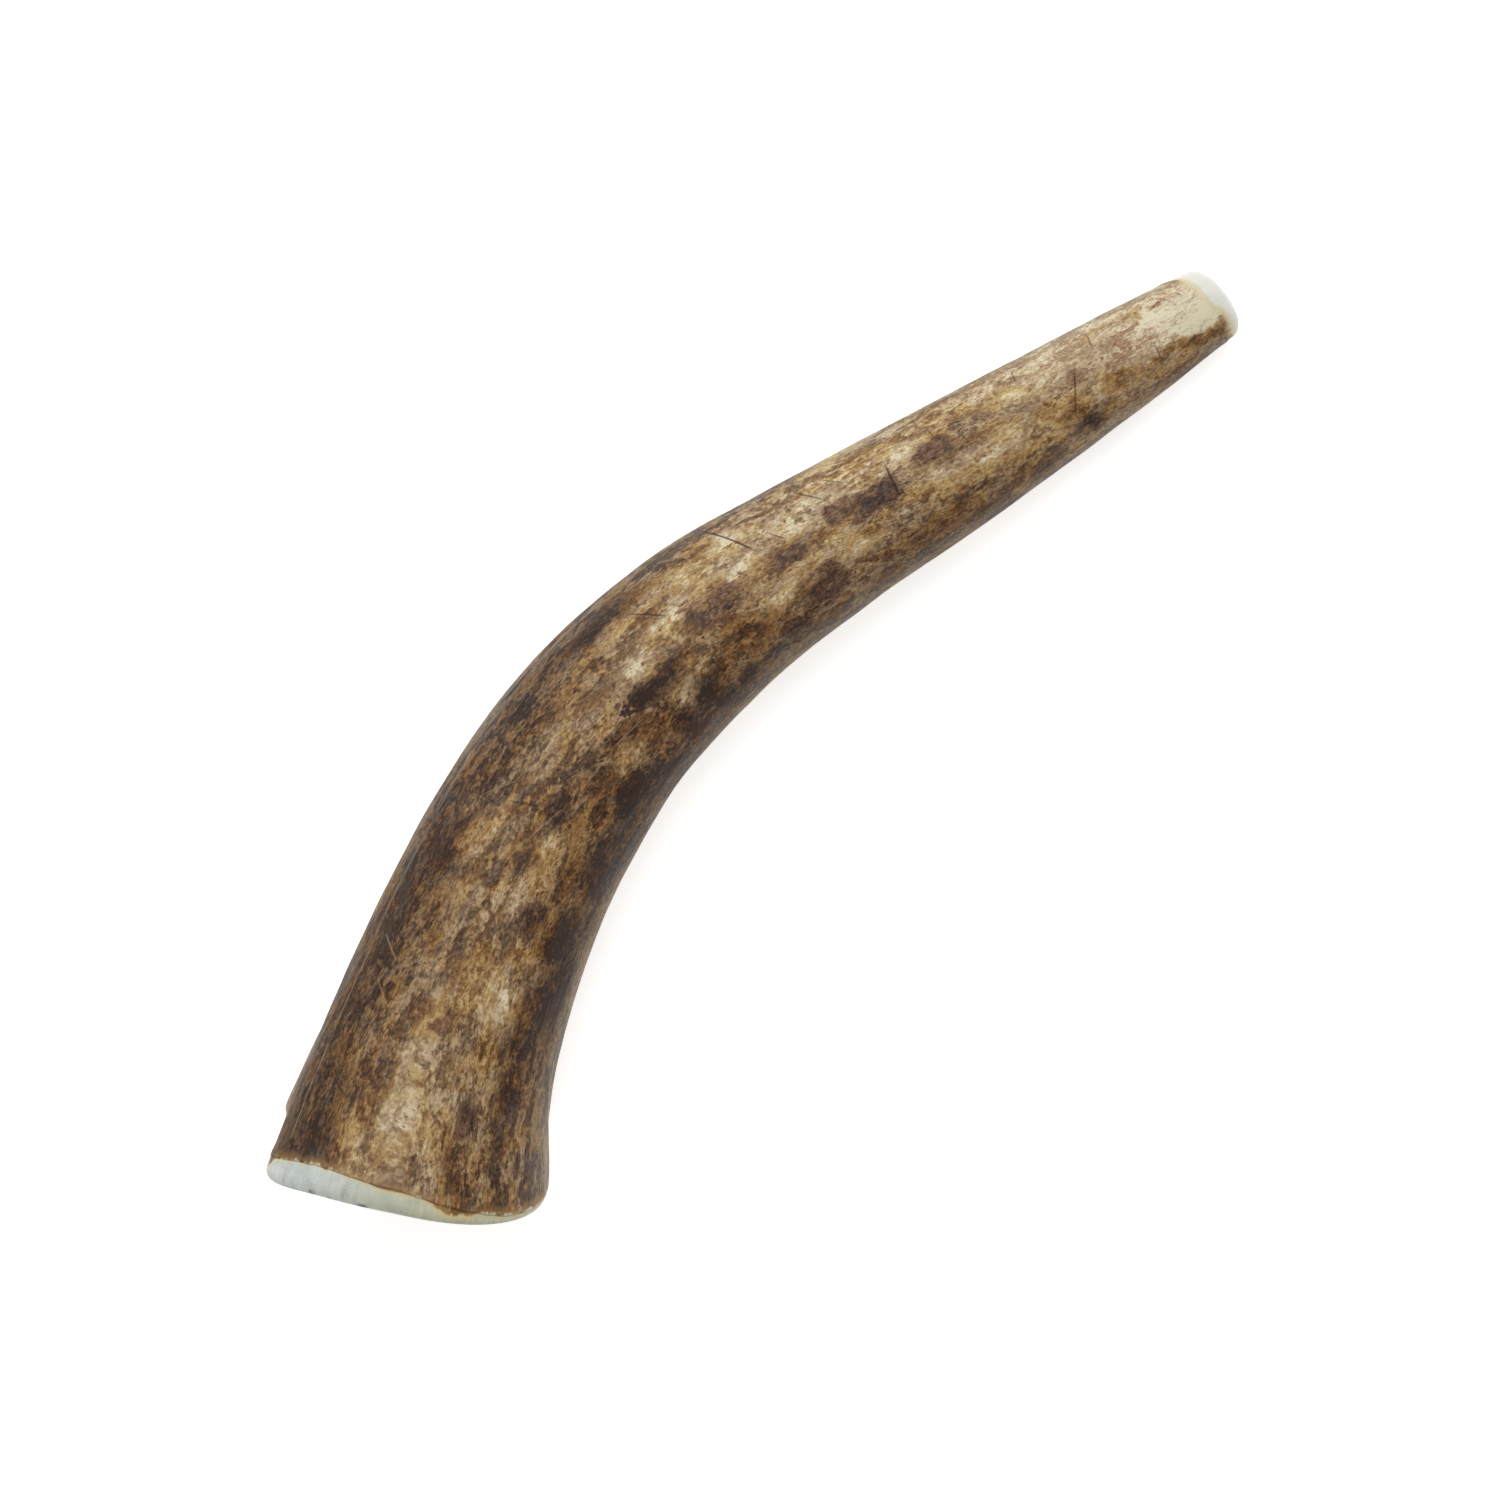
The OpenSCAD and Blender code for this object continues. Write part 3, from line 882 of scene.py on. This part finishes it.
class Recipe:
    """One material's node tree; each method adds a node and gives back its output."""

    def __init__(self, name):
        self.material = bpy.data.materials.new(name)
        self.material.use_nodes = True
        self.tree = self.material.node_tree
        self.tree.nodes.clear()

    def node(self, kind, inputs, **settings):
        """New node; an input is a fixed value or another node's output."""
        made = self.tree.nodes.new(kind)
        for key, value in settings.items():
            setattr(made, key, value)
        for key, value in inputs.items():
            if isinstance(value, bpy.types.NodeSocket):
                self.tree.links.new(value, made.inputs[key])
            else:
                made.inputs[key].default_value = value
        return made

    def stored(self, name, output="Fac"):
        """What store() kept on the mesh: a number, or with output "Vector" a vector."""
        return self.node("ShaderNodeAttribute", {}, attribute_name=name).outputs[output]

    def position(self, units_in_a_metre=1000.0):
        """Place on the object, in millimetres unless another unit is given."""
        point = self.node("ShaderNodeTexCoord", {}).outputs["Object"]
        return self.stretch(point, (units_in_a_metre,) * 3)

    def math(self, operation, a, b=0.0, c=0.0):
        return self.node("ShaderNodeMath", {0: a, 1: b, 2: c}, operation=operation).outputs[0]

    def stretch(self, vector, scale):
        return self.node("ShaderNodeVectorMath", {0: vector, 1: scale}, operation="MULTIPLY").outputs[0]

    def parts(self, vector):
        return self.node("ShaderNodeSeparateXYZ", {0: vector}).outputs

    def noise(self, vector, size, detail=4.0, roughness=0.55, distortion=0.0):
        """Noise about 0, in lumps of the given size in millimetres."""
        made = self.node("ShaderNodeTexNoise", {
            "Vector": vector, "Scale": 1 / size, "Detail": detail,
            "Roughness": roughness, "Distortion": distortion})
        return self.math("SUBTRACT", made.outputs[0], 0.5)

    def between(self, value, low, high, from_value=0.0, to_value=1.0):
        """Smooth step from one value at low to another at high."""
        return self.node("ShaderNodeMapRange", {
            0: value, 1: low, 2: high, 3: from_value, 4: to_value},
            interpolation_type="SMOOTHSTEP").outputs[0]

    def sharpened(self, value, reach):
        """Noise about 0 pushed out to -0.5 and 0.5 wherever it is more than reach from 0."""
        return self.between(value, -reach, reach, -0.5, 0.5)

    def ramp(self, value, stops):
        made = self.node("ShaderNodeValToRGB", {0: value})
        elements = made.color_ramp.elements
        while len(elements) < len(stops):
            elements.new(0.5)
        for element, (position, colour) in zip(elements, stops):
            element.position = position
            element.color = colour
        return made.outputs[0]

    def blend(self, factor, a, b, mode="MIX"):
        """Colour a where the factor is 0, towards b (or a times b) where it is 1."""
        made = self.node("ShaderNodeMix", {0: factor, 6: a, 7: b}, data_type="RGBA", blend_type=mode)
        return made.outputs[2]

    def add(self, *terms):
        """Sum of (amount, output) pairs and of plain outputs and numbers."""
        result = None
        for term in terms:
            if isinstance(term, tuple):
                amount, output = term
                result = (self.math("MULTIPLY", output, amount) if result is None
                          else self.math("MULTIPLY_ADD", output, amount, result))
            else:
                result = term if result is None else self.math("ADD", result, term)
        return result

    def bump(self, height, distance, strength=1.0):
        """Shading normal for fine relief, one unit of which stands out by that distance."""
        return self.node("ShaderNodeBump", {
            "Strength": strength, "Distance": distance, "Height": height}).outputs[0]

    def finish(self, **surface):
        """Material with this surface; each key is the name of an input, with _ for spaces."""
        shader = self.node("ShaderNodeBsdfPrincipled", {
            key.replace("_", " "): value for key, value in surface.items()})
        output = self.node("ShaderNodeOutputMaterial", {})
        self.tree.links.new(shader.outputs[0], output.inputs[0])
        return self.material


def cut_line(r, name):
    """The cut's depth in its middle, falling to 0 beside it."""
    off, half, depth = r.parts(r.stored(name, "Vector"))
    near = r.math("DIVIDE", r.math("ABSOLUTE", off), r.math("MAXIMUM", half, 0.02))
    return r.math("MULTIPLY", r.between(near, 0.4, 1.4, 1.0, 0.0), depth)


# Colours by value, from dark to light
WARM_BARK = [
    (0.00, tint(50, 29, 14)),
    (0.12, tint(77, 47, 22)),
    (0.28, tint(108, 74, 38)),
    (0.45, tint(138, 102, 58)),
    (0.62, tint(163, 131, 82)),
    (0.80, tint(188, 161, 110)),
    (1.00, tint(218, 204, 164)),
]
COOL_BARK = [
    (0.00, tint(45, 31, 22)),
    (0.12, tint(67, 49, 35)),
    (0.28, tint(97, 75, 54)),
    (0.45, tint(129, 104, 75)),
    (0.62, tint(160, 134, 103)),
    (0.80, tint(189, 167, 134)),
    (1.00, tint(217, 207, 178)),
]
BONE = [
    (0.20, tint(176, 183, 178)),
    (0.45, tint(201, 206, 200)),
    (0.70, tint(218, 218, 209)),
    (1.00, tint(226, 225, 214)),
]
CORE = [
    (0.00, tint(48, 32, 22)),
    (0.25, tint(92, 66, 44)),
    (0.50, tint(150, 120, 84)),
    (0.75, tint(188, 164, 126)),
    (1.00, tint(214, 200, 168)),
]

# Colours that others are blended with or multiplied by
VIOLET_CAST = tint(255, 238, 240)
# Painted reflection: the bluish grey that the pale surroundings cast on both sides at grazing angles
FLANK_SHEEN_CAST = tint(226, 239, 242)
GROUND_BARK = tint(172, 132, 84)
EDGE_IVORY = tint(212, 198, 160)
RIM_IVORY = tint(232, 222, 182)
SAWN_BONE = tint(228, 216, 186)
DEEP_BONE = tint(190, 166, 132)
PIT = tint(150, 118, 84)
# Grey of the rim's smudges, also used for painted shade at the edge of the dome
SMUDGE_AND_SHADE_GREY = tint(96, 98, 96)
CUT = tint(52, 36, 27)
PALE_SCRATCH = tint(184, 158, 126)

# How far the shading's fine relief stands out, in metres
BARK_BUMP = 0.00013
BONE_BUMP = 0.00008
CORE_BUMP = 0.0002


def bark_noises(r, grain):
    """Noise about 0, from patches some millimetres long to threads, drawn out along the grain."""
    fine = r.stretch(grain, (0.75, 1.0, 1.0))
    drawn = r.stretch(grain, (0.5, 1.0, 1.0))
    longer = r.stretch(grain, (0.4, 1.0, 1.0))
    longest = r.stretch(grain, (0.15, 1.0, 1.0))
    patches = r.sharpened(r.noise(longer, 3.0, 5.0, 0.55, 0.9), 0.06)
    islands = r.sharpened(r.noise(drawn, 1.8, 4.0, 0.55, 0.6), 0.06)
    crumbs = r.sharpened(r.noise(fine, 0.7, 3.0, 0.55, 0.25), 0.08)
    mottle = r.noise(fine, 0.5, 4.0, 0.7, 0.15)
    fibres = r.sharpened(r.noise(drawn, 0.30, 2.0, 0.6, 0.3), 0.12)
    threads = r.noise(longest, 0.4, 3.0, 0.6)
    return patches, islands, crumbs, mottle, fibres, threads


def placed_marks(r, ragged_edge):
    """Masks of the marks, 0 outside and 1 inside an edge that noise makes ragged."""
    stains = r.parts(r.stored("stains", "Vector"))
    black, violet, rusty = (r.between(r.add(stain, ragged_edge), 0.40, 0.60) for stain in stains)
    fringe = r.between(r.add(r.math("MAXIMUM", stains[0], stains[1]), ragged_edge), 0.15, 0.45)
    # light: worn pale patches and, along the top, painted highlight
    light = r.between(r.add(r.stored("light"), (-1.0, ragged_edge)), 0.28, 0.54)
    return black, violet, rusty, fringe, light


def stained_colour(r, grain):
    """Colour of the stained surface, with the fields for its ragged edge and its relief."""
    patches, islands, crumbs, mottle, fibres, threads = bark_noises(r, grain)
    hairs = hair_lines(r, grain)
    ragged_edge = r.add((0.30, patches), (0.32, islands), (0.26, crumbs), (0.6, mottle))
    black, violet, rusty, fringe, light = placed_marks(r, ragged_edge)

    # How light each place is
    marbling = r.add((0.30, patches), (0.26, islands), (0.25, crumbs), (0.66, mottle))
    marbling = r.math("MULTIPLY", marbling, r.stored("liveliness"))
    marbling = r.math("MULTIPLY", marbling, r.between(violet, 0.0, 1.0, 1.0, 0.6))
    # The light marks add worn pale patches and, along the top, painted highlight
    value = r.add(r.stored("tone"), marbling, (0.19, fibres), (0.22, threads), (-0.15, hairs),
                  (-0.10, fringe), (-0.26, black), (-0.20, violet), (-0.16, rusty), (0.26, light))

    # How warm it is
    creaminess = r.between(r.stored("tone"), 0.55, 0.9)
    warmth = r.add(r.noise(r.stretch(grain, (0.5, 1.0, 1.0)), 2.6, 4.0, 0.6, 0.5),
                   (0.10, black), (-0.16, violet), (0.16, rusty), (-0.15, creaminess))
    warmth = r.between(warmth, -0.12, 0.12)
    colour = r.blend(warmth, r.ramp(value, COOL_BARK), r.ramp(value, WARM_BARK))
    colour = r.blend(r.math("MULTIPLY", violet, 0.8), colour, VIOLET_CAST, "MULTIPLY")
    # Painted reflection: both sides turn a bluish grey, as the pale surroundings reflect at grazing angles
    flank = r.math("MULTIPLY", r.stored("flank"), 0.8)
    colour = r.blend(flank, colour, FLANK_SHEEN_CAST, "MULTIPLY")
    relief = r.add((0.6, threads), (0.5, mottle), (0.12, islands), (-0.25, hairs))
    return colour, ragged_edge, relief


def hair_lines(r, grain):
    """Thin dark lines where slow noise crosses its middle, in broken stretches."""
    slow = r.noise(r.stretch(grain, (0.3, 1.0, 1.0)), 1.6, 3.0, 0.6, 2.0)
    line = r.between(r.math("ABSOLUTE", slow), 0.0, 0.022, 1.0, 0.0)
    broken = r.between(r.noise(grain, 2.4, 2.0), -0.02, 0.08)
    return r.math("MULTIPLY", line, broken)


def bone_colour(r, grain):
    """Colour of the bare bone, with faint streaks along the grain: greyer at the base, partly painted
    shade on the base rim, which faces away from the light, and paler towards the tip, partly painted light
    on the tip, which faces it.
    """
    clouds = r.noise(grain, 2.6, 4.0, 0.6)
    streaks = r.noise(r.stretch(grain, (0.12, 1.0, 1.0)), 0.55, 3.0, 0.6)
    grit = r.noise(grain, 0.35, 2.0, 0.6)
    # Paler towards the tip: partly painted light on the tip, against painted shade on the greyer base rim
    towards_tip = r.between(r.parts(grain)[0], 60.0, 140.0, 0.0, 0.38)
    value = r.add(towards_tip, (0.55, clouds), (0.45, streaks), (0.25, grit), 0.36)
    return r.ramp(value, BONE), grit


def worn_surface(r):
    """Stained bark that fades through ivory to bare bone across the ground edge.

    Gives back the colour, the relief of the stained surface and the grit of the bone.
    """
    grain = r.stored("grain", "Vector")
    stained, ragged_edge, relief = stained_colour(r, grain)
    bone, grit = bone_colour(r, grain)
    bare = r.add(r.stored("bareness"), (-0.55, ragged_edge))
    towards_tip = r.between(r.parts(grain)[0], 20.0, 60.0)
    bare = r.math("MULTIPLY", bare, r.between(towards_tip, 0.0, 1.0, 1.0, 0.4))
    worn = r.math("MULTIPLY", r.between(bare, -1.1, 0.0), r.between(towards_tip, 0.0, 1.0, 0.4, 0.0))
    stained = r.blend(worn, stained, GROUND_BARK)
    colour = r.blend(r.between(bare, -0.16, 0.16), stained, EDGE_IVORY)
    colour = r.blend(r.between(bare, 0.0, 0.6), colour, bone)
    return colour, relief, grit


def bark_material():
    r = Recipe("antler_bark")
    colour, relief, _ = worn_surface(r)
    cuts = r.math("MAXIMUM", cut_line(r, "cuts"), cut_line(r, "fine_cuts"))
    pale = cut_line(r, "pale_lines")
    colour = r.blend(r.math("MULTIPLY", cuts, 0.8), colour, CUT)
    colour = r.blend(r.math("MULTIPLY", pale, 0.42), colour, PALE_SCRATCH)
    bump = r.bump(r.add(relief, (-1.4, cuts), (0.5, pale)), BARK_BUMP)
    roughness = r.between(relief, -0.25, 0.25, 0.40, 0.62)
    return r.finish(Base_Color=colour, Roughness=roughness, Normal=bump, Specular_IOR_Level=0.24)


def bone_material():
    r = Recipe("bare_bone")
    colour, relief, grit = worn_surface(r)
    colour = r.blend(r.math("MULTIPLY", r.stored("ivory"), 0.6), colour, RIM_IVORY, "MULTIPLY")
    # Grey smudges on the base rim, and painted shade at the edge of the tip's dome
    smudges_and_dome_shade = r.between(r.add(r.stored("smudges_and_dome_shade"), (0.5, grit)), 0.1, 0.9)
    colour = r.blend(smudges_and_dome_shade, colour, SMUDGE_AND_SHADE_GREY, "MULTIPLY")

    # The sawn face: creamier, and browner and pitted towards the core
    face = r.stored("face")
    pits = r.noise(r.position(), 0.5, 3.0, 0.6)
    pitted = r.between(r.add(pits, (0.30, face)), 0.22, 0.36)
    pitted = r.math("MULTIPLY", pitted, r.between(face, 0.0, 0.02))
    colour = r.blend(r.between(face, 0.0, 0.2, 0.0, 0.6), colour, SAWN_BONE)
    colour = r.blend(r.between(face, 0.35, 1.0, 0.0, 0.65), colour, DEEP_BONE, "MULTIPLY")
    colour = r.blend(pitted, colour, PIT, "MULTIPLY")
    bump = r.bump(r.add((0.5, grit), (0.25, relief), (-1.0, pitted)), BONE_BUMP, 0.7)
    roughness = r.between(r.add(grit, (0.2, face)), -0.3, 0.4, 0.36, 0.6)
    return r.finish(Base_Color=colour, Roughness=roughness, Normal=bump,
                    Subsurface_Weight=0.15, Subsurface_Scale=0.001, Specular_IOR_Level=0.3)


def core_material():
    r = Recipe("porous_core")
    position = r.position()
    sponge = r.noise(position, 0.45, 4.0, 0.65)
    stain = r.noise(position, 3.0, 4.0, 0.6)
    pores = r.stored("pores")
    rim = r.between(r.stored("to_edge"), 0.0, 1.6, 0.30, 0.0)
    colour = r.ramp(r.add(rim, (0.7, stain), (0.5, sponge), (-0.62, pores), 0.58), CORE)
    roughness = r.between(sponge, -0.3, 0.3, 0.7, 0.9)
    return r.finish(Base_Color=colour, Roughness=roughness, Normal=r.bump(sponge, CORE_BUMP),
                    Specular_IOR_Level=0.25)


# ---- stage ----------------------------------------------------------------------------------

CAMERA_PLACE = (-0.003271, -0.004512, 0.4744)        # it looks straight down
CAMERA_TURN = -47.278    # degrees
LENS = 85.0
SENSOR = 36.0
FLOOR_SIZE = 6.0
FLOOR_WHITES = [(0.3, tint(248, 248, 248)), (0.7, tint(250, 250, 250))]
WHITE = (1.0, 1.0, 1.0, 1.0)
SKY_STRENGTH = 0.45
KEY_FROM = (-0.15, 0.75, 1.2)        # right, up and towards the camera, as the camera sees it
KEY_DISTANCE = 1.1
KEY_WIDTH = 0.9
KEY_POWER = 8.0


def add_camera():
    data = bpy.data.cameras.new("camera")
    data.lens = LENS
    data.sensor_width = SENSOR
    data.clip_start = 0.01
    data.clip_end = 20
    camera = bpy.data.objects.new("camera", data)
    camera.location = CAMERA_PLACE
    camera.rotation_euler = (0, 0, math.radians(CAMERA_TURN))
    bpy.context.scene.collection.objects.link(camera)
    bpy.context.scene.camera = camera


def picture_direction(right, up, height):
    """Direction in the row frame for a direction as the camera sees it."""
    return Matrix.Rotation(math.radians(CAMERA_TURN), 4, "Z") @ Vector((right, up, height))


def add_light(name, direction, distance, width, power):
    """Square light that far from the origin, turned towards it."""
    data = bpy.data.lights.new(name, "AREA")
    data.shape = "SQUARE"
    data.size = width
    data.energy = power
    light = bpy.data.objects.new(name, data)
    light.location = direction.normalized() * distance
    light.rotation_euler = direction.to_track_quat("Z", "Y").to_euler()
    bpy.context.scene.collection.objects.link(light)


def add_floor():
    bpy.ops.mesh.primitive_plane_add(size=FLOOR_SIZE)
    floor = bpy.context.object
    floor.name = "floor"
    r = Recipe("floor_white")
    clouds = r.noise(r.position(1.0), 0.5, 2.0)
    colour = r.ramp(r.add(clouds, 0.5), FLOOR_WHITES)
    floor.data.materials.append(r.finish(
        Base_Color=colour, Roughness=0.9, Emission_Color=WHITE, Emission_Strength=0.6))


def add_world():
    world = bpy.data.worlds.new("studio")
    world.use_nodes = True
    background = world.node_tree.nodes["Background"]
    background.inputs["Color"].default_value = WHITE
    background.inputs["Strength"].default_value = SKY_STRENGTH
    bpy.context.scene.world = world


# ---- assembly -------------------------------------------------------------------------------

def to_row_frame():
    """Shift that puts the surface's box where the CAD's box is."""
    u = bark_u(np.linspace(0, 1, 120)[:, None], TURN[None, :], rough=0.0)
    skin = place(u, section(u, np.broadcast_to(TURN, u.shape)))
    ends = [rim_ring(0.5)[0], rim_ring(1.0)[0]]
    ends += [dome_ring(turn)[0] for turn in np.linspace(0, math.pi / 2, 12)]
    points = np.concatenate([skin.reshape(-1, 3), *ends])
    low, high = points.min(axis=0), points.max(axis=0)
    cad_low, cad_high = (np.array(corner) * 1000 for corner in CAD_BOX)
    shift = (cad_low + cad_high) / 2 - (low + high) / 2
    shift[2] = cad_low[2] - low[2]
    return shift


def build():
    shift = to_row_frame()
    for piece, node_name, slot_name, material in [
        (build_bark(shift), "bark", "antler_bark", bark_material()),
        (build_bone(shift), "compact_bone", "bare_bone", bone_material()),
        (build_core(shift), "spongy_core", "porous_core", core_material()),
    ]:
        piece.data.materials.append(material)
        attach(piece, "root")
        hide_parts(node_name)
    add_floor()
    add_camera()
    add_world()
    add_light("key", picture_direction(*KEY_FROM), KEY_DISTANCE, KEY_WIDTH, KEY_POWER)
    bpy.context.scene.view_settings.view_transform = "Standard"


build()
